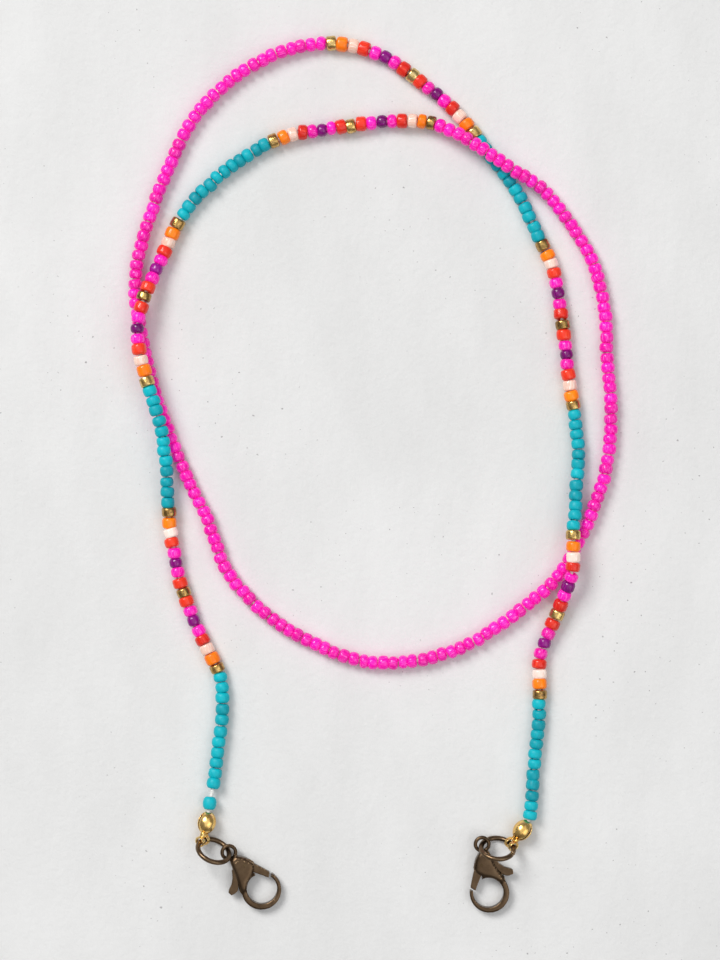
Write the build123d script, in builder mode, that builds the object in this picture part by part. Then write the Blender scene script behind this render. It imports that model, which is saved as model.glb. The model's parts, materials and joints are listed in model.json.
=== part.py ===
from build123d import *
from math import cos, radians, sin, tan
from random import Random
import os

os.makedirs("parts", exist_ok=True)

# An eyeglass retainer strap: one thread strung with glass seed beads, a clamshell
# bead tip on each end, and a jump ring and lobster clasp hanging from each tip.
# Frame: millimetres, +Z up, lying flat on Z = 0, origin under the middle of its box.

# ---- driving dimensions -------------------------------------------------------

thread_diameter = 0.75
bead_hole_radius = 0.56
bead_gap = 0.04  # between neighbouring beads where the thread runs straight
bead_radius = {  # outer radius by colour
    "turquoise": 1.36,
    "pink": 1.38,
    "violet": 1.35,
    "red": 1.41,
    "orange": 1.41,
    "white": 1.39,
    "brass": 1.39,
}
bead_rounding = {  # radius of the outer edges
    "turquoise": 0.72,
    "pink": 0.72,
    "violet": 0.62,
    "red": 0.45,
    "orange": 0.45,
    "white": 0.42,
    "brass": 0.40,
}
bead_length_share = {  # length beside the other beads of its run
    "turquoise": 1.0,
    "pink": 1.0,
    "violet": 0.98,
    "red": 1.03,
    "orange": 1.03,
    "white": 1.0,
    "brass": 0.97,
}
length_spread = 0.08  # share by which bead lengths differ
radius_spread = 0.02

accent_colours = (
    "brass orange white red pink violet pink red brass "
    "red pink violet pink red white orange brass"
).split()
turquoise_count = 12
pink_count = 157

tip_length = 4.4  # bead tip's bulb, along the thread
tip_radius = 1.85
tip_wall = 0.25
tip_hole_radius = 0.70
seam_width = 0.45
loop_hole_radius = 0.78  # the two loops that hold the jump ring
loop_wall = 0.30
loop_width = 0.70
loop_offset = 0.70  # from the middle between the loops to each one's middle

stopper_radius = 1.05
stopper_length = 1.30
stopper_hole_radius = 0.47
stopper_from_knot = 1.30  # between their middles
knot_radius = 0.55

ring_radius = 3.25  # to the middle of the wire
ring_wire_radius = 0.50
ring_tilt = 57.0  # degrees from flat

eye_radius = 1.33  # clasp's eye, to the middle of its section
eye_section = 0.40
body_thickness = 2.70
hook_thickness = 1.70
cheek_chamfer = 0.30
hook_outer_radius = 3.95
hook_inner_radius = 3.05
slot_width = 1.25  # between the cheeks
lever_thickness = 1.13
pin_radius = 0.40
pin_clearance = 0.05
lever_pivot = (3.90, 0.80)
leaf_thickness = 0.12
leaf_width = 0.90

# Where the thread lies, from inside the left tip to inside the right tip. Points
# with two numbers lie on the surface, at the height of a bead's middle.
floor_height = 1.42
thread_points = [
    (-33.4, -70.4, 1.95), (-31.9, -62.0, 1.55), (-30.5, -51.5), (-29.8, -41.0),
    (-34.4, -32.4), (-38.5, -22.5), (-40.7, -11.0, 1.8), (-41.1, 0.5, 3.0),
    (-42.2, 10.0, 4.45), (-45.6, 20.0, 4.4), (-47.2, 28.0, 4.6), (-45.8, 35.5, 4.05),
    (-42.8, 42.0, 1.7), (-38.1, 52.6), (-29.3, 61.3), (-18.2, 67.9),
    (-8.0, 69.2), (2.5, 70.8), (12.0, 70.6, 1.9), (19.6, 66.3, 4.4),
    (27.6, 60.8, 4.4), (34.2, 57.0, 2.0), (39.5, 50.4), (44.3, 42.5),
    (46.7, 32.5), (46.8, 22.6), (47.9, 11.4), (46.7, 0.0),
    (42.8, -10.4), (37.4, -20.5), (29.8, -26.9), (20.4, -33.6),
    (9.4, -37.6), (-2.4, -37.7), (-12.0, -33.8), (-21.3, -28.5),
    (-29.4, -19.9), (-32.6, -10.0), (-37.2, -0.6), (-41.1, 8.7),
    (-44.2, 18.0), (-46.4, 28.0), (-48.1, 39.0), (-45.4, 50.0),
    (-41.0, 61.3), (-36.2, 71.7), (-28.4, 79.2), (-18.9, 84.8),
    (-8.0, 86.7), (1.7, 84.2), (10.8, 77.8), (18.2, 71.1),
    (23.4, 63.8), (28.9, 57.0), (32.3, 49.2), (36.4, 41.0),
    (38.0, 30.0), (39.2, 19.0), (41.2, 6.0), (40.5, -4.5, 2.3),
    (39.8, -12.5, 4.4), (39.9, -19.1, 4.4), (37.4, -26.6, 1.9), (33.1, -35.8),
    (33.4, -47.5), (32.2, -58.5), (31.75, -65.6, 1.5), (31.3, -69.2, 1.85),
    (29.4, -71.7, 1.9),
]

# Findings: mouth of each bead tip, middle of each jump ring, its level direction
# across the view, and the middle of each clasp's hook.
tip_height = 1.85
tip_mouth = {"left": Vector(-32.75, -67.50, tip_height), "right": Vector(31.20, -69.40, tip_height)}
ring_middle = {"left": Vector(-31.80, -75.05, 0), "right": Vector(24.80, -74.60, 0)}
ring_across = {"left": Vector(0.922, -0.387, 0), "right": Vector(0.998, -0.056, 0)}
ring_angle_at_tip = {"left": 149.7, "right": 30.3}
ring_angle_at_eye = {"left": 25.0, "right": 160.0}
hook_middle = {"left": Vector(-22.25, -83.10, 1.22), "right": Vector(23.30, -83.70, 1.29)}
seam_lean = {"left": 60.0, "right": -48.0}  # degrees from straight up, about the tip's axis

# ---- thread -------------------------------------------------------------------

route = [Vector(*point) if len(point) == 3 else Vector(*point, floor_height) for point in thread_points]
turn_radii = []
for before, corner, after in zip(route, route[1:], route[2:]):
    half_turn = radians((corner - before).get_angle(after - corner)) / 2
    shorter_run = min((corner - before).length, (after - corner).length)
    turn_radii.append(0.45 * shorter_run / tan(half_turn))

with BuildPart() as thread:
    with BuildLine() as thread_line:
        FilletPolyline(*route, radius=turn_radii)
    with BuildSketch(Plane(route[0], z_dir=route[1] - route[0])):
        Circle(thread_diameter / 2)
    sweep()
    tube_volume = thread.part.volume
    with Locations(route[0], route[-1]):
        Sphere(knot_radius)
thread.part.label = "thread"
export_step(thread.part, "parts/thread.step")

path = thread_line.wire()
section = Circle(thread_diameter / 2, mode=Mode.PRIVATE).area
print("thread length", round(path.length, 1), "mm")
print("turn radii", [round(radius, 1) for radius in turn_radii])
print("tube volume over section times length", round(tube_volume / (section * path.length), 4))

# ---- beads --------------------------------------------------------------------

# Each run: name, colours in order, share of the strung length.
strung_runs = [
    ("left_end", ["turquoise"], 2.60),
    ("turquoise_1", ["turquoise"] * (turquoise_count - 1), 23.65),
    ("accent_1", accent_colours, 34.80),
    ("turquoise_2", ["turquoise"] * turquoise_count, 24.80),
    ("accent_2", accent_colours, 36.00),
    ("turquoise_3", ["turquoise"] * turquoise_count, 23.60),
    ("accent_3", accent_colours, 33.90),
    ("pink_1", ["pink"] * (pink_count // 2), 156.40),
    ("pink_2", ["pink"] * (pink_count - pink_count // 2), 158.40),
    ("accent_4", accent_colours, 36.90),
    ("turquoise_4", ["turquoise"] * turquoise_count, 24.60),
    ("accent_5", accent_colours, 34.70),
    ("turquoise_5", ["turquoise"] * turquoise_count, 24.40),
    ("accent_6", accent_colours, 35.30),
    ("turquoise_6", ["turquoise"] * turquoise_count, 24.40),
]
first_bead_station = 0.40  # clear of the left tip's mouth
slack_after = {"left_end": 1.70}  # bare thread that the end bead can slide along
last_bead_clearance = 0.25

start_station = (tip_mouth["left"] - route[0]).length + first_bead_station
end_station = path.length - (tip_mouth["right"] - route[-1]).length - last_bead_clearance
strung_share = (end_station - start_station - sum(slack_after.values())) / sum(
    share for _, _, share in strung_runs
)
rng = Random(12)
station = start_station
for run_name, colours, share in strung_runs:
    weights = [
        bead_length_share[colour] * (1 + rng.uniform(-length_spread, length_spread))
        for colour in colours
    ]
    length_per_weight = share * strung_share / sum(weights)
    solids = {colour: [] for colour in colours}
    for colour, weight in zip(colours, weights):
        pitch = weight * length_per_weight
        radius = bead_radius[colour] * (1 + rng.uniform(-radius_spread, 0))
        entering = path.tangent_at(station, position_mode=PositionMode.LENGTH)
        leaving = path.tangent_at(station + pitch, position_mode=PositionMode.LENGTH)
        # Round a turn, the beads' flat ends touch on the inside and open outside.
        wedge = radians(entering.get_angle(leaving)) * (radius - 0.8 * bead_rounding[colour])
        length = pitch - bead_gap - wedge
        middle = path.position_at(station + pitch / 2, position_mode=PositionMode.LENGTH)
        along = path.tangent_at(station + pitch / 2, position_mode=PositionMode.LENGTH)
        across = Plane(middle, z_dir=along).x_dir
        with BuildPart() as bead:
            section_plane = Plane(middle, x_dir=along, z_dir=along.cross(across))
            with BuildSketch(section_plane) as half_section:
                with Locations((0, bead_hole_radius)):
                    Rectangle(length, radius - bead_hole_radius, align=(Align.CENTER, Align.MIN))
                outer_corners = half_section.vertices().sort_by(Axis.Y)[-2:]
                fillet(outer_corners, min(bead_rounding[colour], 0.46 * length))
            revolve(axis=Axis(middle, along))
        solids[colour].append(bead.part)
        station += pitch
    station += slack_after.get(run_name, 0)
    for colour, beads_of_colour in solids.items():
        node_name = f"{run_name}_{colour}" if run_name.startswith("accent") else f"{run_name}_beads"
        if len(beads_of_colour) == 1 and not run_name.startswith("accent"):
            node_name = f"{run_name}_bead"
        with BuildPart() as bead_group:
            add(beads_of_colour)
        bead_group.part.label = node_name
        export_step(bead_group.part, f"parts/{node_name}.step")
    print(run_name, len(colours), "beads up to", round(station, 1), "mm")
slide_axis = path.tangent_at(start_station, position_mode=PositionMode.LENGTH)
print("end bead slides along", slide_axis)

# ---- findings: bead tips, jump rings and clasps ---------------------------------

for side in ("left", "right"):
    mouth = tip_mouth[side]

    # The ring leans on the surface: its wire passes the tip's loops and the eye.
    across = ring_across[side]
    uphill = Vector(0, 0, 1).cross(across)
    lean = uphill * cos(radians(ring_tilt)) - Vector(0, 0, sin(radians(ring_tilt)))
    ring_centre = ring_middle[side] + Vector(
        0, 0, ring_wire_radius + ring_radius * sin(radians(ring_tilt))
    )
    at_tip = radians(ring_angle_at_tip[side])
    at_eye = radians(ring_angle_at_eye[side])
    loop_middle = ring_centre + (across * cos(at_tip) + lean * sin(at_tip)) * ring_radius
    loop_axis = lean * cos(at_tip) - across * sin(at_tip)
    eye_middle = ring_centre + (across * cos(at_eye) + lean * sin(at_eye)) * ring_radius
    eye_axis = lean * cos(at_eye) - across * sin(at_eye)
    print(side, "thread mouth", mouth)
    print(side, "ring in tip", loop_middle, loop_axis)
    print(side, "ring in eye", eye_middle, eye_axis)

    with BuildPart() as jump_ring:
        with BuildSketch(Plane(ring_centre + across * ring_radius, z_dir=lean)):
            Circle(ring_wire_radius)
        revolve(axis=Axis(ring_centre, across.cross(lean)))
    jump_ring.part.label = f"{side}_jump_ring"
    export_step(jump_ring.part, f"parts/{side}_jump_ring.step")

    # Clamshell bead tip: a thin egg-shaped shell with a mouth for the thread, a
    # seam down one side, and two loops side by side round the jump ring.
    tip_axis = (loop_middle - mouth).normalized()
    bulb_middle = mouth + tip_axis * tip_length / 2
    upright = (Vector(0, 0, 1) - tip_axis * tip_axis.Z).normalized()
    seam_out = upright.rotate(Axis((0, 0, 0), tip_axis), seam_lean[side])
    bulb_plane = Plane(bulb_middle, x_dir=tip_axis, z_dir=tip_axis.cross(seam_out))
    with BuildPart() as bead_tip:
        with BuildSketch(bulb_plane) as shell_section:
            with BuildLine():
                half = tip_length / 2
                inner_half = half - tip_wall
                ThreePointArc((-half, tip_hole_radius), (0, tip_radius), (half, 0.45))
                Line((half, 0.45), (inner_half, 0.35))
                ThreePointArc(
                    (inner_half, 0.35), (0, tip_radius - tip_wall), (-inner_half, tip_hole_radius)
                )
                Line((-inner_half, tip_hole_radius), (-half, tip_hole_radius))
            make_face()
        revolve(axis=Axis(bulb_middle, tip_axis))
        with BuildSketch(bulb_plane):
            with Locations((0, tip_radius / 2)):
                Rectangle(0.8 * tip_length, tip_radius + 0.6)
        extrude(amount=seam_width / 2, both=True, mode=Mode.SUBTRACT)
        bulb_end = bulb_middle + tip_axis * (half - tip_wall / 2)
        yoke_width_axis = (loop_axis - tip_axis * loop_axis.dot(tip_axis)).normalized()
        with BuildSketch(Plane(bulb_end, x_dir=yoke_width_axis, z_dir=tip_axis)):
            RectangleRounded(2 * loop_offset + 0.3, 0.9, 0.3)
        extrude(amount=(loop_middle - bulb_end).length - 0.5)
        for offset in (-loop_offset, loop_offset):
            with BuildSketch(Plane(loop_middle + loop_axis * offset, z_dir=loop_axis)):
                Circle(loop_hole_radius + loop_wall)
            extrude(amount=loop_width / 2, both=True)
        with BuildSketch(Plane(loop_middle - loop_axis * 2, z_dir=loop_axis)):
            Circle(loop_hole_radius)
        extrude(amount=4, mode=Mode.SUBTRACT)
    bead_tip.part.label = f"{side}_bead_tip"
    export_step(bead_tip.part, f"parts/{side}_bead_tip.step")

    # Bead that stops the thread's knot from pulling out through the mouth.
    thread_end = route[:2] if side == "left" else route[:-3:-1]
    outward = (thread_end[0] - thread_end[1]).normalized()
    stopper_middle = thread_end[0] - outward * stopper_from_knot
    with BuildPart() as stopper_bead:
        with BuildSketch(Plane(stopper_middle, z_dir=outward)):
            Circle(stopper_radius)
        extrude(amount=stopper_length / 2, both=True)
        fillet(stopper_bead.edges(), 0.35)
        with BuildSketch(Plane(stopper_middle, z_dir=outward)):
            Circle(stopper_hole_radius)
        extrude(amount=stopper_length, both=True, mode=Mode.SUBTRACT)
    stopper_bead.part.label = f"{side}_stopper_bead"
    export_step(stopper_bead.part, f"parts/{side}_stopper_bead.step")

    # Clasp: X runs from the middle of the eye to the middle of the hook, Y towards
    # the gate. The right clasp lies on its other face.
    along_clasp = (hook_middle[side] - eye_middle).normalized()
    face_up = (Vector(0, 0, 1) - along_clasp * along_clasp.Z).normalized()
    flat = Plane(eye_middle, x_dir=along_clasp, z_dir=face_up if side == "left" else -face_up)

    with BuildPart() as clasp_body:
        with BuildSketch(flat) as hook_outline:
            with Locations((9.95, 0)):
                Circle(hook_outer_radius)
            with BuildLine():
                Polyline(
                    (5.6, 1.0), (7.3, 1.2), (7.6, -2.0), (9.0, -3.6), (7.2, -3.45), (5.2, -2.2),
                    close=True,
                )
            make_face()
            with Locations((9.85, 0.22)):
                Circle(hook_inner_radius, mode=Mode.SUBTRACT)
            with BuildLine():
                Polyline(
                    (8.42, 4.4), (9.12, 3.15), (8.6, 1.9), (6.4, 0.95), (5.0, 2.0), (6.0, 4.4),
                    close=True,
                )
            make_face(mode=Mode.SUBTRACT)
        extrude(amount=hook_thickness / 2, both=True)
        with BuildSketch(flat) as cheek_outline:
            with BuildLine():
                Polyline(
                    (1.45, 0.72), (2.2, 1.35), (2.95, 1.86), (4.0, 2.24), (4.8, 2.48), (5.7, 1.75),
                    (6.35, 0.85), (6.7, -0.15), (7.15, -1.25), (7.9, -2.1), (7.9, -3.3), (6.6, -2.95),
                    (4.4, -1.95), (2.6, -1.45), (1.55, -1.0), close=True,
                )
            make_face()
        extrude(amount=body_thickness / 2, both=True)
        thickness_axis = Axis(eye_middle, flat.z_dir)
        cheek_faces = clasp_body.faces().filter_by(thickness_axis).sort_by(thickness_axis)
        chamfer(cheek_faces[0].edges() + cheek_faces[-1].edges(), cheek_chamfer)
        with BuildSketch(flat) as neck_outline:
            with BuildLine():
                Polyline((1.2, 0.7), (1.9, 0.9), (1.9, -0.95), (1.2, -0.9), close=True)
            make_face()
        extrude(amount=0.9, both=True)
        eye_section_middle = eye_middle + flat.x_dir * eye_radius
        with BuildSketch(Plane(eye_section_middle, x_dir=flat.x_dir, z_dir=flat.y_dir)):
            Circle(eye_section)
        revolve(axis=thickness_axis)
        with BuildSketch(flat):
            Circle(eye_radius - eye_section + 0.05)
        extrude(amount=2, both=True, mode=Mode.SUBTRACT)
        with BuildSketch(flat) as lever_slot:
            with BuildLine():
                Polyline(
                    (1.95, -2.2), (1.95, -0.85), (2.3, 0.5), (2.9, 1.45), (3.6, 2.0), (4.2, 3.2),
                    (7.2, 3.2), (7.1, 0.6), (6.75, -0.4), (5.0, -0.75), (5.45, -1.75), (6.85, -3.05),
                    (7.4, -4.0), (5.0, -4.0), close=True,
                )
            make_face()
        extrude(amount=slot_width / 2, both=True, mode=Mode.SUBTRACT)
        with BuildSketch(flat):
            with Locations(lever_pivot):
                Circle(pin_radius)
        extrude(amount=body_thickness, both=True, mode=Mode.SUBTRACT)
    clasp_body.part.label = f"{side}_clasp_body"
    export_step(clasp_body.part, f"parts/{side}_clasp_body.step")

    with BuildPart() as clasp_lever:
        with BuildSketch(flat) as lever_outline:
            with BuildLine():
                Polyline(
                    (8.30, 3.60), (9.05, 2.70), (7.8, 2.05), (6.4, 1.25), (5.2, 0.5), (4.7, -0.1),
                    (4.7, -0.9), (5.3, -1.9), (6.6, -3.2), (7.0, -3.8), (7.05, -4.4), (6.85, -5.25),
                    (6.05, -5.35), (5.7, -4.9), (5.2, -3.8), (4.4, -2.85), (3.15, -1.95), (2.95, -1.2),
                    (3.05, -0.2), (3.0, 0.9), (3.4, 1.6), (4.5, 2.2), (6.5, 2.97), close=True,
                )
            make_face()
            with Locations(lever_pivot):
                Circle(pin_radius + pin_clearance, mode=Mode.SUBTRACT)
        extrude(amount=lever_thickness / 2, both=True)
    clasp_lever.part.label = f"{side}_clasp_lever"
    export_step(clasp_lever.part, f"parts/{side}_clasp_lever.step")

    with BuildPart() as lever_pin:
        with BuildSketch(flat):
            with Locations(lever_pivot):
                Circle(pin_radius)
        extrude(amount=body_thickness / 2, both=True)
    lever_pin.part.label = f"{side}_lever_pin"
    export_step(lever_pin.part, f"parts/{side}_lever_pin.step")

    # Leaf bent into a U, between the slot's end wall and the lever's tail.
    with BuildPart() as lever_spring:
        with BuildSketch(flat) as leaf_outline:
            with Locations(Location((2.55, -0.62, 0), (0, 0, 84))):
                SlotOverall(1.7, 0.62)
                SlotOverall(1.7 - 2 * leaf_thickness, 0.62 - 2 * leaf_thickness, mode=Mode.SUBTRACT)
                with Locations((-0.75, 0)):
                    Rectangle(0.9, 0.7, mode=Mode.SUBTRACT)
        extrude(amount=leaf_width / 2, both=True)
    lever_spring.part.label = f"{side}_lever_spring"
    export_step(lever_spring.part, f"parts/{side}_lever_spring.step")
    print(side, "clasp plane", flat, "lever pivot", flat.from_local_coords(Vector(*lever_pivot, 0)))
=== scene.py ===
import math
import random

import bmesh
import bpy
import numpy as np
from mathutils import Matrix, Vector
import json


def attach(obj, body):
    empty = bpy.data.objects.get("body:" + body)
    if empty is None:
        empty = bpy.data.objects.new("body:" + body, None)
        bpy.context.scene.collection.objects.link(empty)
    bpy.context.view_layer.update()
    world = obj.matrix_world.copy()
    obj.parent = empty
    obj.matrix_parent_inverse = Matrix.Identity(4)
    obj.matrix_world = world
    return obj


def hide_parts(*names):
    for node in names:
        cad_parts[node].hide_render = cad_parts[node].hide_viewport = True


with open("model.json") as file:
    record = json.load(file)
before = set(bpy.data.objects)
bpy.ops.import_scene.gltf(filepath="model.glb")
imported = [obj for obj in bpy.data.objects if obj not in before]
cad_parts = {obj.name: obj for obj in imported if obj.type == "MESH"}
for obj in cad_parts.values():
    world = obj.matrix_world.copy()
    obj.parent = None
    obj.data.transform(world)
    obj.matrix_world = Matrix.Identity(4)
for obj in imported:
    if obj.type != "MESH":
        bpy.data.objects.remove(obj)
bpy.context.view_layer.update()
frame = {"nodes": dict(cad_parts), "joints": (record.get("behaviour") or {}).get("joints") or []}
mm = 0.001
print("frame loaded:", len(frame["nodes"]), "nodes")


# looks straight down, from so far that there is hardly any perspective; millimetres
shot = {"middle": (-2.6, -1.1), "height": 620.0, "fieldHeight": 192.0, "lookLevel": 1.4}

cameraData = bpy.data.cameras.new("camera")
cameraData.sensor_width = 36.0
cameraData.lens = 36.0 * (shot["height"] - shot["lookLevel"]) / shot["fieldHeight"]
cameraData.clip_start = 0.01
camera = bpy.data.objects.new("camera", cameraData)
camera.location = (shot["middle"][0] * mm, shot["middle"][1] * mm, shot["height"] * mm)
bpy.context.collection.objects.link(camera)
bpy.context.scene.camera = camera
bpy.context.scene.view_settings.view_transform = "Standard"


# the points are millimetres; those without a height lie on the floor
thread = {
    "radius": 0.375,
    "lying": 1.42,
    "length": 0.681,
    "points": [
        (-33.4, -70.4, 1.95), (-31.9, -62.0, 1.55), (-30.5, -51.5), (-29.8, -41.0),
        (-34.4, -32.4), (-38.5, -22.5), (-40.7, -11.0, 1.8), (-41.1, 0.5, 3.0),
        (-42.2, 10.0, 4.45), (-45.6, 20.0, 4.4), (-47.2, 28.0, 4.6), (-45.8, 35.5, 4.05),
        (-42.8, 42.0, 1.7), (-38.1, 52.6), (-29.3, 61.3), (-18.2, 67.9),
        (-8.0, 69.2), (2.5, 70.8), (12.0, 70.6, 1.9), (19.6, 66.3, 4.4),
        (27.6, 60.8, 4.4), (34.2, 57.0, 2.0), (39.5, 50.4), (44.3, 42.5),
        (46.7, 32.5), (46.8, 22.6), (47.9, 11.4), (46.7, 0.0),
        (42.8, -10.4), (37.4, -20.5), (29.8, -26.9), (20.4, -33.6),
        (9.4, -37.6), (-2.4, -37.7), (-12.0, -33.8), (-21.3, -28.5),
        (-29.4, -19.9), (-32.6, -10.0), (-37.2, -0.6), (-41.1, 8.7),
        (-44.2, 18.0), (-46.4, 28.0), (-48.1, 39.0), (-45.4, 50.0),
        (-41.0, 61.3), (-36.2, 71.7), (-28.4, 79.2), (-18.9, 84.8),
        (-8.0, 86.7), (1.7, 84.2), (10.8, 77.8), (18.2, 71.1),
        (23.4, 63.8), (28.9, 57.0), (32.3, 49.2), (36.4, 41.0),
        (38.0, 30.0), (39.2, 19.0), (41.2, 6.0), (40.5, -4.5, 2.3),
        (39.8, -12.5, 4.4), (39.9, -19.1, 4.4), (37.4, -26.6, 1.9), (33.1, -35.8),
        (33.4, -47.5), (32.2, -58.5), (31.75, -65.6, 1.5), (31.3, -69.2, 1.85),
        (29.4, -71.7, 1.9),
    ],
}


def threadCurve(name, bevel):
    curve = bpy.data.curves.new(name, "CURVE")
    curve.dimensions = "3D"
    curve.resolution_u = 24
    curve.bevel_depth = bevel
    curve.bevel_resolution = 5
    curve.use_fill_caps = True
    spline = curve.splines.new("NURBS")
    spline.points.add(len(thread["points"]) - 1)
    for place, point in zip(spline.points, thread["points"]):
        level = point[2] if len(point) > 2 else thread["lying"]
        place.co = (point[0] * mm, point[1] * mm, level * mm, 1.0)
        place.radius = thread["radius"] * mm
    spline.order_u = 3
    spline.use_endpoint_u = True
    piece = bpy.data.objects.new(name, curve)
    bpy.context.collection.objects.link(piece)
    return piece


threadLine = threadCurve("threadLine", 0.0)
lineMesh = bpy.data.meshes.new_from_object(threadLine)
line = np.array([vertex.co[:] for vertex in lineMesh.vertices])
bpy.data.objects.remove(threadLine)
lineSteps = np.linalg.norm(np.diff(line, axis=0), axis=1)
lineStations = np.concatenate([[0.0], np.cumsum(lineSteps)])
print("thread line", round(lineStations[-1], 4), "m long")

threadPiece = threadCurve("thread_piece", 1.0)  # each point's radius gives the thickness
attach(threadPiece, "strand")
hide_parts("thread")


# a socket that can be added, subtracted and multiplied
class Wire:
    def __init__(self, tree, socket):
        self.tree = tree
        self.socket = socket

    def calc(self, operation, first, second):
        node = self.tree.nodes.new("ShaderNodeMath")
        node.operation = operation
        for place, value in enumerate((first, second)):
            plug(self.tree, node.inputs[place], value)
        return Wire(self.tree, node.outputs[0])

    def __add__(self, other):
        return self.calc("ADD", self, other)

    def __sub__(self, other):
        return self.calc("SUBTRACT", self, other)

    def __rsub__(self, other):
        return self.calc("SUBTRACT", other, self)

    def __mul__(self, other):
        return self.calc("MULTIPLY", self, other)

    __radd__ = __add__
    __rmul__ = __mul__


def plug(tree, place, value):
    if isinstance(value, Wire):
        tree.links.new(value.socket, place)
    else:
        place.default_value = value


class Finish:
    def __init__(self, name, **uniform):
        self.material = bpy.data.materials.new(name)
        self.material.use_nodes = True
        self.tree = self.material.node_tree
        self.shader = self.tree.nodes["Principled BSDF"]
        for socket, value in uniform.items():
            self.shader.inputs[socket.replace("_", " ")].default_value = value

    def node(self, kind, settings=None, values=None, out=0):
        node = self.tree.nodes.new("ShaderNode" + kind)
        for name, value in (settings or {}).items():
            if name == "stops":
                ramp = node.color_ramp
                while len(ramp.elements) < len(value):
                    ramp.elements.new(0.5)
                for element, (place, tone) in zip(ramp.elements, value):
                    element.position = place
                    element.color = (*(tone if isinstance(tone, tuple) else (tone,) * 3), 1.0)
            else:
                setattr(node, name, value)
        for name, value in (values or {}).items():
            plug(self.tree, node.inputs[name], value)
        return Wire(self.tree, node.outputs[out])

    def place(self):
        return self.node("TexCoord", out=3)

    def noise(self, spot, scale, detail=3.0, rough=0.5):
        return self.node("TexNoise", values={
            "Vector": spot, "Scale": scale, "Detail": detail, "Roughness": rough,
        })

    def ramp(self, factor, *stops):
        return self.node("ValToRGB", {"stops": stops}, {"Fac": factor})

    def mix(self, factor, first, second):
        values = {0: factor}
        for place, tone in ((6, first), (7, second)):
            values[place] = (*tone, 1.0) if isinstance(tone, tuple) else tone
        return self.node("Mix", {"data_type": "RGBA"}, values, out=2)

    def stretch(self, vector, amounts):
        return self.node("VectorMath", {"operation": "MULTIPLY"}, {0: vector, 1: amounts})

    def bump(self, height, strength, distance):
        normal = self.node("Bump", values={
            "Height": height, "Strength": strength, "Distance": distance,
        })
        plug(self.tree, self.shader.inputs["Normal"], normal)

    def set(self, socket, wire):
        plug(self.tree, self.shader.inputs[socket], wire)


# tones: darker, usual and lighter colour; streak: colour of the fine lines in the glass;
# paintedGlow: strength of a painted glow, the bead's own colour given off as light though it is no
# lamp
glass = {
    "turquoise": {
        "tones": ((0.0, 0.25, 0.31), (0.0, 0.37, 0.44), (0.0, 0.46, 0.54)),
        "streak": (0.0, 0.58, 0.66), "streaks": 0.25, "rough": 0.46, "coat": 0.02, "paintedGlow": 0.06,
    },
    "pink": {
        "tones": ((0.66, 0.0, 0.27), (0.86, 0.0, 0.38), (0.94, 0.002, 0.46)),
        "streak": (1.0, 0.13, 0.60), "streaks": 0.8, "rough": 0.26, "coat": 0.26, "paintedGlow": 0.20,
    },
    "red": {
        "tones": ((0.56, 0.010, 0.006), (0.73, 0.020, 0.008), (0.82, 0.040, 0.012)),
        "streak": (1.0, 0.13, 0.05), "streaks": 0.45, "rough": 0.30, "coat": 0.30, "paintedGlow": 0.10,
    },
    "orange": {
        "tones": ((0.86, 0.15, 0.0), (0.95, 0.20, 0.0), (0.98, 0.26, 0.004)),
        "streak": (1.0, 0.38, 0.03), "streaks": 0.4, "rough": 0.32, "coat": 0.30, "paintedGlow": 0.10,
    },
    "violet": {
        "tones": ((0.090, 0.0, 0.075), (0.19, 0.0, 0.15), (0.31, 0.002, 0.25)),
        "streak": (0.48, 0.01, 0.38), "streaks": 0.5, "rough": 0.24, "coat": 0.35, "paintedGlow": 0.03,
    },
    "white": {
        "tones": ((0.80, 0.48, 0.37), (0.88, 0.62, 0.52), (0.94, 0.76, 0.68)),
        "streak": (1.0, 0.92, 0.86), "streaks": 0.8, "rough": 0.16, "coat": 0.5, "paintedGlow": 0.08,
    },
    "magenta": {
        "tones": ((0.30, 0.0, 0.14), (0.42, 0.0, 0.21), (0.55, 0.01, 0.30)),
        "streak": (0.80, 0.10, 0.45), "streaks": 0.5, "rough": 0.2, "coat": 0.5, "paintedGlow": 0.05,
    },
}


def glassFinish(colour):
    look = glass[colour]
    finish = Finish(colour + "Glass", Coat_Roughness=0.08, IOR=1.5, Specular_IOR_Level=0.3)
    finish.shader.inputs["Coat Weight"].default_value = look["coat"]
    tone = finish.node("Attribute", {"attribute_name": "beadTone"}, out=2)
    spot = finish.node("Attribute", {"attribute_name": "beadSpot"}, out=1)
    cloud = finish.noise(spot, 0.9, 2.0)
    dark, usual, light = look["tones"]
    body = finish.ramp(tone * 0.65 + cloud * 0.35, (0.22, dark), (0.5, usual), (0.78, light))
    # drawn glass shows fine lines that run along the hole
    lines = finish.noise(finish.stretch(spot, (0.35, 3.2, 3.2)), 1.6, 4.0, 0.6)
    veins = finish.ramp(lines, (0.52, 0.0), (0.66, 1.0))
    colourNow = finish.mix(veins * look["streaks"], body, look["streak"])
    finish.set("Base Color", colourNow)
    # painted light: the bead gives off its own colour as a faint glow, though it is no lamp
    if look["paintedGlow"]:
        finish.set("Emission Color", colourNow)
        finish.shader.inputs["Emission Strength"].default_value = look["paintedGlow"]
    finish.set("Roughness", cloud * 0.14 + (look["rough"] - 0.07))
    pits = finish.noise(spot, 9.0, 3.0, 0.6)
    finish.bump(lines * 0.7 + pits * 0.3, 0.30, 0.00006)
    return finish.material


# thin metal over glass, rubbed through to a dark brown in spots
coated = {
    "tones": ((0.20, 0.105, 0.03), (0.50, 0.30, 0.085), (0.74, 0.50, 0.17), (0.92, 0.72, 0.34)),
    "worn": (0.075, 0.04, 0.022), "wornShare": 0.75, "rough": 0.12, "coat": 0.3,
}


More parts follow.
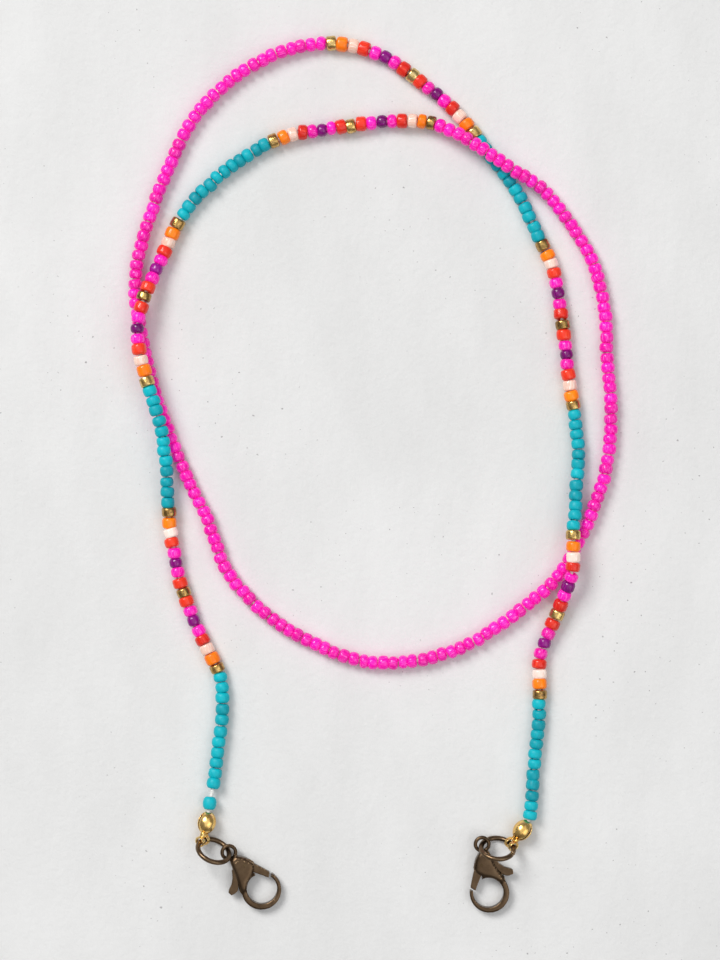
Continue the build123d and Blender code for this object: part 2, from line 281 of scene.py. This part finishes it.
def coatedGlassFinish():
    finish = Finish("metallicGlass", Coat_Roughness=0.1)
    finish.shader.inputs["Coat Weight"].default_value = coated["coat"]
    tone = finish.node("Attribute", {"attribute_name": "beadTone"}, out=2)
    spot = finish.node("Attribute", {"attribute_name": "beadSpot"}, out=1)
    cloud = finish.noise(spot, 1.1, 3.0, 0.6)
    body = finish.ramp(tone * 0.35 + cloud * 0.65, *zip((0.28, 0.42, 0.58, 0.72), coated["tones"]))
    worn = finish.ramp(finish.noise(spot, 2.6, 4.0, 0.65), (0.56, 0.0), (0.66, 1.0))
    finish.set("Base Color", finish.mix(worn * coated["wornShare"], body, coated["worn"]))
    finish.set("Metallic", 0.95 - worn * 0.5)
    finish.set("Roughness", cloud * 0.2 + worn * 0.22 + coated["rough"])
    finish.bump(finish.noise(spot, 5.0, 4.0, 0.6), 0.35, 0.00008)
    return finish.material


finishes = {colour: glassFinish(colour) for colour in glass}
finishes["brass"] = coatedGlassFinish()
print("glass finishes:", len(finishes))


# dark: painted shade in the hollows; edge: metal rubbed bright; edgeShare: how much of it shows
metals = {
    "goldPlate": {
        "tones": ((0.62, 0.33, 0.07), (0.90, 0.58, 0.18), (1.0, 0.76, 0.33)),
        "dark": (0.20, 0.075, 0.014), "edge": (1.0, 0.84, 0.48),
        "rough": 0.22, "grain": 1400.0, "edgeShare": 0.5,
    },
    "antiqueBrass": {
        "tones": ((0.072, 0.046, 0.027), (0.100, 0.064, 0.037), (0.132, 0.087, 0.051)),
        "dark": (0.014, 0.009, 0.006), "edge": (0.42, 0.28, 0.16),
        "rough": 0.29, "grain": 1500.0, "edgeShare": 1.0,
    },
    "pinBrass": {
        "tones": ((0.050, 0.031, 0.016), (0.095, 0.062, 0.033), (0.150, 0.102, 0.058)),
        "dark": (0.020, 0.012, 0.007), "edge": (0.46, 0.31, 0.17),
        "rough": 0.42, "grain": 1500.0, "edgeShare": 0.0,
    },
}


def metalFinish(name):
    look = metals[name]
    finish = Finish(name)
    spot = finish.place()
    cloud = finish.noise(spot, look["grain"] * 0.35, 4.0, 0.6)
    grain = finish.noise(spot, look["grain"] * 4.0, 3.0, 0.7)
    dark, usual, light = look["tones"]
    body = finish.ramp(cloud * 0.75 + grain * 0.25, (0.34, dark), (0.5, usual), (0.68, light))
    point = finish.node("NewGeometry", out=7)
    # painted shade: hollows found from pointiness are darkened towards the dark colour, standing
    # in for the shade that falls in them
    hollowShade = finish.ramp(point, (0.40, 1.0), (0.485, 0.0))
    ridge = finish.ramp(point + grain * 0.03, (0.535, 0.0), (0.60, 1.0))
    withHollowShade = finish.mix(hollowShade * 0.85, body, look["dark"])
    finish.set("Base Color", finish.mix(ridge * look["edgeShare"], withHollowShade, look["edge"]))
    finish.set("Metallic", 1.0 - hollowShade * 0.35)
    rough = cloud * 0.22 + hollowShade * 0.25 + (look["rough"] - 0.08) - ridge * 0.06
    finish.set("Roughness", rough)
    finish.bump(cloud * 0.55 + grain * 0.45, 0.28, 0.00005)
    return finish.material


spring = {"tones": ((0.16, 0.13, 0.10), (0.42, 0.38, 0.33)), "lines": (400.0, 4000.0, 4000.0)}


def springFinish():
    finish = Finish("springSteel", Metallic=1.0)
    spot = finish.place()
    lines = finish.noise(finish.stretch(spot, spring["lines"]), 1.0, 3.0)
    finish.set("Base Color", finish.ramp(lines, *zip((0.3, 0.7), spring["tones"])))
    finish.set("Roughness", lines * 0.3 + 0.2)
    finish.bump(lines, 0.2, 0.00003)
    return finish.material


waxed = {
    "tones": ((0.58, 0.56, 0.52), (0.80, 0.79, 0.76), (0.92, 0.91, 0.89)),
    "fibres": 5200.0, "twist": (900.0, 2600.0, 2600.0), "relief": 0.00012,
}


def threadFinish():
    finish = Finish("waxedThread", Sheen_Weight=0.3, Sheen_Roughness=0.5)
    spot = finish.place()
    fibres = finish.noise(spot, waxed["fibres"], 4.0, 0.7)
    twist = finish.noise(finish.stretch(spot, waxed["twist"]), 1.0, 2.0)
    body = finish.ramp(fibres * 0.5 + twist * 0.5, *zip((0.3, 0.55, 0.75), waxed["tones"]))
    finish.set("Base Color", body)
    finish.set("Roughness", fibres * 0.2 + 0.5)
    finish.bump(fibres * 0.5 + twist * 0.5, 0.6, waxed["relief"])
    return finish.material


goldPlate = metalFinish("goldPlate")
antiqueBrass = metalFinish("antiqueBrass")
pinBrass = metalFinish("pinBrass")
springSteel = springFinish()
threadPiece.data.materials.append(threadFinish())


# roundness: 2 is an ellipse in outline, more is squarer
beadShape = {
    "sides": 28, "steps": 9, "holeRadius": 0.56, "lip": 0.08, "land": 0.06,
    "wobble": 0.014, "skew": 0.035, "tilt": 4.2, "offset": 0.11, "spread": 0.02,
    "stopperHole": 0.47, "stopperFreedom": 0.2, "endRoundness": 2.0,
    "swell": {
        "turquoise": 1.01, "pink": 1.0, "violet": 0.99, "red": 1.06, "orange": 1.05,
        "white": 1.03, "brass": 1.06, "magenta": 1.0,
    },
    "roundness": {
        "turquoise": 2.25, "pink": 2.1, "violet": 2.3, "red": 3.3, "orange": 3.2,
        "white": 3.4, "brass": 4.2, "magenta": 3.0,
    },
}


def turnedBead(length, radius, roundness, hole, shape):
    # one ring of points for each step of the outline, which closes through the hole
    sides = beadShape["sides"]
    half = length / 2
    lip = beadShape["lip"]
    endRadius = hole + lip + beadShape["land"]
    outline = [(-half + lip, hole), (-half + 0.3 * lip, hole + 0.3 * lip), (-half, hole + lip)]
    for step in range(beadShape["steps"]):
        turn = math.radians(90 * step / beadShape["steps"])
        along = -half * math.cos(turn) ** (2 / roundness)
        out = endRadius + (radius - endRadius) * math.sin(turn) ** (2 / roundness)
        outline.append((along, out))
    outline += [(-along, out) for along, out in reversed(outline)]
    points = []
    for along, out in outline:
        share = along / half
        for side in range(sides):
            angle = 2 * math.pi * side / sides
            swell = 1 + shape["wobble"] * math.sin(2 * angle + shape["phase"])
            ripple = shape["wobble"] * 0.6 * math.sin(5 * angle + 3 * shape["phase"])
            swell += ripple * (1 - share * share)
            skew = shape["skew"] * math.cos(angle + 2 * shape["phase"]) * abs(share) ** 3
            across, up = out * swell * math.cos(angle), out * swell * math.sin(angle)
            points.append((along + skew, across, up))
    faces = []
    rows = len(outline)
    for row in range(rows):
        for side in range(sides):
            following = (row + 1) % rows
            turned = (side + 1) % sides
            faces.append((
                row * sides + side, row * sides + turned,
                following * sides + turned, following * sides + side,
            ))
    return np.array(points), faces


def looseParts(node):
    # vertex positions of each separate solid in a node
    work = bmesh.new()
    work.from_mesh(frame["nodes"][node].data)
    bmesh.ops.remove_doubles(work, verts=work.verts, dist=1e-5)
    work.verts.index_update()
    seen = set()
    parts = []
    for start in work.verts:
        if start.index in seen:
            continue
        seen.add(start.index)
        stack = [start]
        part = []
        while stack:
            vertex = stack.pop()
            part.append(vertex.co[:])
            for edge in vertex.link_edges:
                other = edge.other_vert(vertex)
                if other.index not in seen:
                    seen.add(other.index)
                    stack.append(other)
        parts.append(np.array(part))
    work.free()
    return parts


def meshPiece(name, points, faces, material):
    mesh = bpy.data.meshes.new(name)
    mesh.from_pydata([tuple(point) for point in points], [], faces)
    mesh.polygons.foreach_set("use_smooth", [True] * len(mesh.polygons))
    mesh.materials.append(material)
    mesh.update()
    piece = bpy.data.objects.new(name, mesh)
    bpy.context.collection.objects.link(piece)
    return piece


def ridePiece(piece, body, slot, *nodes):
    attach(piece, body)
    if nodes:
        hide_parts(*nodes)


def beadColour(node):
    if node.startswith("accent"):
        return node.rsplit("_", 1)[1]
    if node.startswith("pink"):
        return "pink"
    return "magenta" if "stopper" in node else "turquoise"


def beadPlace(part, nearest):
    # middle and direction of a bead, and its length and radius in millimetres
    low, high = max(nearest - 2, 0), min(nearest + 2, len(line) - 1)
    along = line[high] - line[low]
    along = along / np.linalg.norm(along)
    centre = part.mean(axis=0)
    steps = (part - centre) @ along
    centre = centre + along * (steps.max() + steps.min()) / 2
    flat = (part - centre) - np.outer((part - centre) @ along, along)
    radius = np.linalg.norm(flat, axis=1).max() / mm
    return centre, along, (steps.max() - steps.min()) / mm, radius


slots = {
    "turquoise": "turquoise_glass", "pink": "pink_glass", "red": "red_glass",
    "orange": "orange_glass", "violet": "violet_glass", "white": "clear_glass",
    "brass": "metallic_glass", "magenta": "magenta_glass",
}
beadNodes = sorted(
    name for name in frame["nodes"]
    if name.startswith("accent") or name.endswith("_beads") or name.endswith("_bead")
)
beadTotal = 0
for nodeNumber, node in enumerate(beadNodes):
    colour = beadColour(node)
    placed = []
    for part in looseParts(node):
        middle = (part.min(axis=0) + part.max(axis=0)) / 2
        nearest = int(np.argmin(np.linalg.norm(line - middle, axis=1)))
        placed.append((nearest, part))
    placed.sort(key=lambda pair: pair[0])
    rng = random.Random(100 + nodeNumber)
    allPoints, allFaces, allSpots, allTones = [], [], [], []
    count = 0
    for nearest, part in placed:
        centre, along, length, radius = beadPlace(part, nearest)
        shape = {
            "wobble": beadShape["wobble"] * rng.uniform(0.3, 1.6), "phase": rng.uniform(0, 6.28),
            "skew": beadShape["skew"] * rng.uniform(-1, 1),
        }
        stopper = colour == "magenta"
        hole = beadShape["stopperHole" if stopper else "holeRadius"]
        roundness = beadShape["roundness"][colour] * rng.uniform(0.9, 1.15)
        if node == "left_end_bead":
            roundness = beadShape["endRoundness"]
        radius *= beadShape["swell"][colour] + rng.uniform(-1, 1) * beadShape["spread"]
        points, faces = turnedBead(length, radius, roundness, hole, shape)
        free = beadShape["stopperFreedom"] if stopper else 1.0
        tilt = Matrix.Rotation(math.radians(rng.gauss(0, beadShape["tilt"] * free)), 3, "Y")
        lean = Matrix.Rotation(math.radians(rng.gauss(0, beadShape["tilt"] * free)), 3, "Z")
        facing = Vector(along).to_track_quat("X", "Z").to_matrix() @ (tilt @ lean)
        offset = Vector([rng.uniform(-1, 1) * beadShape["offset"] * free for _ in range(3)])
        world = points @ np.array(facing).T * mm + centre + np.array(offset) * mm
        allPoints.append(world)
        allFaces += [tuple(corner + count for corner in face) for face in faces]
        allSpots.append(points + np.array([rng.uniform(0, 60) for _ in range(3)]))
        allTones.append(np.full(len(points), rng.uniform(0.12, 0.88)))
        count += len(points)
    beadTotal += len(placed)
    piece = meshPiece(node + "_glass", np.vstack(allPoints), allFaces, finishes[colour])
    spots = piece.data.attributes.new("beadSpot", "FLOAT_VECTOR", "POINT")
    spots.data.foreach_set("vector", np.vstack(allSpots).astype(np.float32).ravel())
    tones = piece.data.attributes.new("beadTone", "FLOAT", "POINT")
    tones.data.foreach_set("value", np.concatenate(allTones).astype(np.float32))
    body = "left_end_bead" if node == "left_end_bead" else "strand"
    ridePiece(piece, body, slots[colour], node)
print("beads:", beadTotal)


# lumps in the thread, hidden inside the bead tips; millimetres
knot = {"radius": 0.5, "lump": 0.09, "lumpsAcross": 9000, "lumpsAlong": 7000}


def knotPiece(name, spot, seed):
    work = bmesh.new()
    bmesh.ops.create_icosphere(work, subdivisions=3, radius=knot["radius"] * mm)
    for vertex in work.verts:
        ridge = math.sin(knot["lumpsAcross"] * (vertex.co.x + vertex.co.z) + seed)
        ridge *= math.cos(knot["lumpsAlong"] * vertex.co.y)
        vertex.co *= 1 + knot["lump"] * ridge
        vertex.co += Vector(spot) * mm
    mesh = bpy.data.meshes.new(name)
    work.to_mesh(mesh)
    work.free()
    mesh.polygons.foreach_set("use_smooth", [True] * len(mesh.polygons))
    mesh.materials.append(threadPiece.data.materials[0])
    piece = bpy.data.objects.new(name, mesh)
    bpy.context.collection.objects.link(piece)
    ridePiece(piece, "strand", "thread")


knotPiece("left_knot", thread["points"][0], 0.4)
knotPiece("right_knot", thread["points"][-1], 2.1)


# grain: size of the remesh in millimetres; smooth and dome: how often it is smoothed
cast = {
    "bead_tip": {
        "grain": 0.055, "smooth": 4, "dome": 0,
        "finish": goldPlate, "slot": "gold_plate", "body": "tip",
    },
    "clasp_body": {
        "grain": 0.075, "smooth": 14, "dome": 320, "closedOver": "lever_pin",
        "finish": antiqueBrass, "slot": "antique_brass", "body": "clasp",
    },
    "clasp_lever": {
        "grain": 0.065, "smooth": 12, "dome": 0,
        "finish": antiqueBrass, "slot": "antique_brass", "body": "lever",
    },
}


cheek = {"from": 0.72, "fade": 0.25}  # millimetres out from the clasp's middle plane


def settle(piece):
    depsgraph = bpy.context.evaluated_depsgraph_get()
    finished = bpy.data.meshes.new_from_object(piece.evaluated_get(depsgraph))
    piece.modifiers.clear()
    piece.data = finished


def meltedMesh(node, grain, smooth, dome, closedOver):
    source = frame["nodes"][node]
    work = bmesh.new()
    work.from_mesh(source.data)
    if closedOver:  # the rivet is filed flush, so the casting takes in its ends
        work.from_mesh(frame["nodes"][closedOver].data)
    bmesh.ops.remove_doubles(work, verts=work.verts, dist=1e-6)
    mesh = bpy.data.meshes.new(node + "_cast")
    work.to_mesh(mesh)
    work.free()
    mesh.materials.clear()
    piece = bpy.data.objects.new(node + "_cast", mesh)
    bpy.context.collection.objects.link(piece)
    remesh = piece.modifiers.new("grain", "REMESH")
    remesh.mode = "VOXEL"
    remesh.voxel_size = grain * mm
    melt = piece.modifiers.new("melt", "SMOOTH")
    melt.factor = 0.5
    melt.iterations = smooth
    settle(piece)
    if dome:
        # only what stands out of the middle is melted more, so the cheeks swell like a casting
        jointName = node.split("_")[0] + "_lever_pivot"
        joint = next(row for row in frame["joints"] if row["name"] == jointName)
        middle, facing = Vector(joint["pos_m"]), Vector(joint["axis"]).normalized()
        cheeks = piece.vertex_groups.new(name="cheeks")
        for vertex in piece.data.vertices:
            height = abs((vertex.co - middle).dot(facing)) / mm
            share = min(max((height - cheek["from"]) / cheek["fade"], 0.0), 1.0)
            cheeks.add([vertex.index], share, "REPLACE")
        swell = piece.modifiers.new("swell", "SMOOTH")
        swell.factor = 0.5
        swell.iterations = dome
        swell.vertex_group = "cheeks"
        settle(piece)
        piece.vertex_groups.clear()
    finished = piece.data
    finished.polygons.foreach_set("use_smooth", [True] * len(finished.polygons))
    return piece


for side in ("left", "right"):
    for kind, recipe in cast.items():
        node = side + "_" + kind
        closedOver = side + "_" + recipe["closedOver"] if "closedOver" in recipe else None
        piece = meltedMesh(node, recipe["grain"], recipe["smooth"], recipe["dome"], closedOver)
        piece.data.materials.clear()
        piece.data.materials.append(recipe["finish"])
        ridePiece(piece, side + "_" + recipe["body"], recipe["slot"], node)
    print(side, "cast pieces done")


# round wire with a sawn gap; millimetres and degrees
rings = {
    "wire": 0.50, "radius": 3.25, "lean": 57.0, "gap": 1.3, "steps": 96, "sides": 18,
    "left": {"middle": (-31.80, -75.05), "across": (0.922, -0.387), "gapAt": 149.0},
    "right": {"middle": (24.80, -74.60), "across": (0.998, -0.056), "gapAt": -27.0},
}


def ringPiece(side):
    look = rings[side]
    across = Vector((*look["across"], 0)).normalized()
    lean = math.radians(rings["lean"])
    level = Vector((0, 0, 1)).cross(across)
    downhill = level * math.cos(lean) - Vector((0, 0, 1)) * math.sin(lean)
    middle = Vector((*look["middle"], rings["wire"] + rings["radius"] * math.sin(lean)))
    facing = across.cross(downhill)
    start, end = look["gapAt"] + rings["gap"], look["gapAt"] + 360 - rings["gap"]
    points, faces = [], []
    # share of the way round, and share of the wire's thickness, which the saw leaves rounded
    stations = [(0.0, 0.55), (0.004, 0.86), (0.010, 1.0)]
    stations += [(0.010 + 0.980 * step / rings["steps"], 1.0) for step in range(1, rings["steps"])]
    stations += [(0.990, 1.0), (0.996, 0.86), (1.0, 0.55)]
    for share, swell in stations:
        turn = math.radians(start + (end - start) * share)
        outward = across * math.cos(turn) + downhill * math.sin(turn)
        for step in range(rings["sides"]):
            angle = 2 * math.pi * step / rings["sides"]
            reach = rings["wire"] * swell
            spot = middle + outward * (rings["radius"] + reach * math.cos(angle))
            points.append((spot + facing * reach * math.sin(angle)) * mm)
    for row in range(len(stations) - 1):
        for step in range(rings["sides"]):
            turned = (step + 1) % rings["sides"]
            first, second = row * rings["sides"], (row + 1) * rings["sides"]
            faces.append((first + step, second + step, second + turned, first + turned))
    faces.append(tuple(range(rings["sides"])))
    faces.append(tuple(reversed(range(len(points) - rings["sides"], len(points)))))
    piece = meshPiece(side + "_ring_wire", points, faces, antiqueBrass)
    ridePiece(piece, side + "_ring", "antique_brass", side + "_jump_ring")


for side in ("left", "right"):
    ringPiece(side)
    for kind, material in (("_lever_pin", pinBrass), ("_lever_spring", springSteel)):
        part = frame["nodes"][side + kind]
        part.data.materials.clear()
        part.data.materials.append(material)
print("rings, pins and springs done")


plaster = {
    "tones": ((0.665, 0.664, 0.660), (0.735, 0.734, 0.731)), "fleck": (0.24, 0.23, 0.23),
    "fleckScale": 1400.0, "fleckShare": 0.75, "gritScale": 650.0, "relief": 0.0011, "half": 1.2,
}


def floorFinish():
    finish = Finish("plaster", Specular_IOR_Level=0.25)
    spot = finish.place()
    wash = finish.noise(spot, 9.0, 4.0, 0.55)
    trowel = finish.noise(finish.stretch(spot, (60.0, 26.0, 40.0)), 1.0, 5.0, 0.62)
    grit = finish.noise(spot, plaster["gritScale"], 4.0, 0.65)
    specks = finish.noise(spot, plaster["fleckScale"], 1.0, 0.4)
    flecks = finish.ramp(specks, (0.225, 1.0), (0.25, 0.0))
    sparse = finish.ramp(finish.noise(spot, 26.0, 2.0), (0.45, 0.0), (0.60, 1.0))
    body = finish.ramp(wash * 0.5 + trowel * 0.5, *zip((0.36, 0.62), plaster["tones"]))
    flecked = finish.mix(flecks * sparse * plaster["fleckShare"], body, plaster["fleck"])
    finish.set("Base Color", flecked)
    finish.set("Roughness", wash * 0.2 + 0.62)
    finish.bump(trowel * 0.75 + grit * 0.25, 0.5, plaster["relief"])
    return finish.material


floorMesh = bpy.data.meshes.new("floor")
half = plaster["half"]
corners = [(-half, -half, 0), (half, -half, 0), (half, half, 0), (-half, half, 0)]
floorMesh.from_pydata(corners, [], [(0, 1, 2, 3)])
floorMesh.materials.append(floorFinish())
floor = bpy.data.objects.new("floor", floorMesh)
bpy.context.collection.objects.link(floor)

# metres and watts
studio = {
    "window": {"at": (-1.00, 1.10, 1.50), "size": 0.9, "power": 35.0, "tint": (1.0, 0.995, 0.98)},
    "fill": {"at": (1.1, -0.8, 1.5), "size": 1.6, "power": 9.0, "tint": (0.98, 0.99, 1.0)},
    "overhead": {"at": (0.15, 0.05, 1.6), "size": 2.2, "power": 10.0, "tint": (1.0, 1.0, 1.0)},
}
for name, lamp in studio.items():
    light = bpy.data.lights.new(name, "AREA")
    light.size = lamp["size"]
    light.energy = lamp["power"]
    light.color = lamp["tint"]
    source = bpy.data.objects.new(name, light)
    source.location = lamp["at"]
    source.rotation_euler = (-Vector(lamp["at"])).to_track_quat("-Z", "Y").to_euler()
    bpy.context.collection.objects.link(source)

room = {"tint": (0.98, 0.985, 1.0), "strength": 0.24}
world = bpy.data.worlds.new("room")
bpy.context.scene.world = world
world.use_nodes = True
background = world.node_tree.nodes["Background"]
background.inputs["Color"].default_value = (*room["tint"], 1.0)
background.inputs["Strength"].default_value = room["strength"]
print("floor and light done")

bpy.context.view_layer.update()
